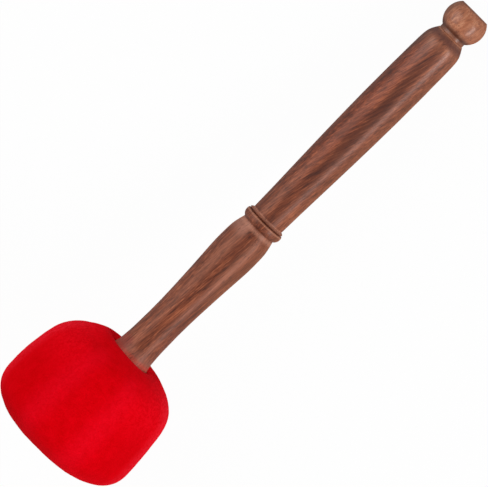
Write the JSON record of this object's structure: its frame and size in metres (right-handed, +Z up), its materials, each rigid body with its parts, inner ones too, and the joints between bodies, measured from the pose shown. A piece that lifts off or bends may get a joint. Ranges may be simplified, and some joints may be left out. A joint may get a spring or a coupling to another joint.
{
  "type": "singing bowl mallet",
  "caption": "Singing bowl mallet with a large red wool felt head on a turned hardwood handle with a bead ring and ball knob.",
  "frame": {"origin": "on the table under the middle of the mallet's box, as the mallet lies on the side of its head and on its knob", "axes": "+X along the mallet's length, from the head towards the knob; the turning axis lies in the XZ plane and slopes 6.0 degrees down towards the knob; +Z up from the table"},
  "size_m": [0.3215, 0.085, 0.0851],
  "materials": {
    "rosewood": "reddish brown rosewood, turned, satin varnish",
    "red_felt": "thick red wool felt, matt",
    "core_wood": "bare light wood",
    "steel": "zinc plated steel",
    "padding_felt": "undyed wool felt"
  },
  "bodies": {
    "root": {"handle": "rosewood", "felt_cover": "red_felt", "head_core": "core_wood", "core_screw": "steel", "core_washer": "steel", "padding_wrap": "padding_felt", "face_pad": "padding_felt", "crown_pad": "padding_felt"}
  },
  "joints": []
}
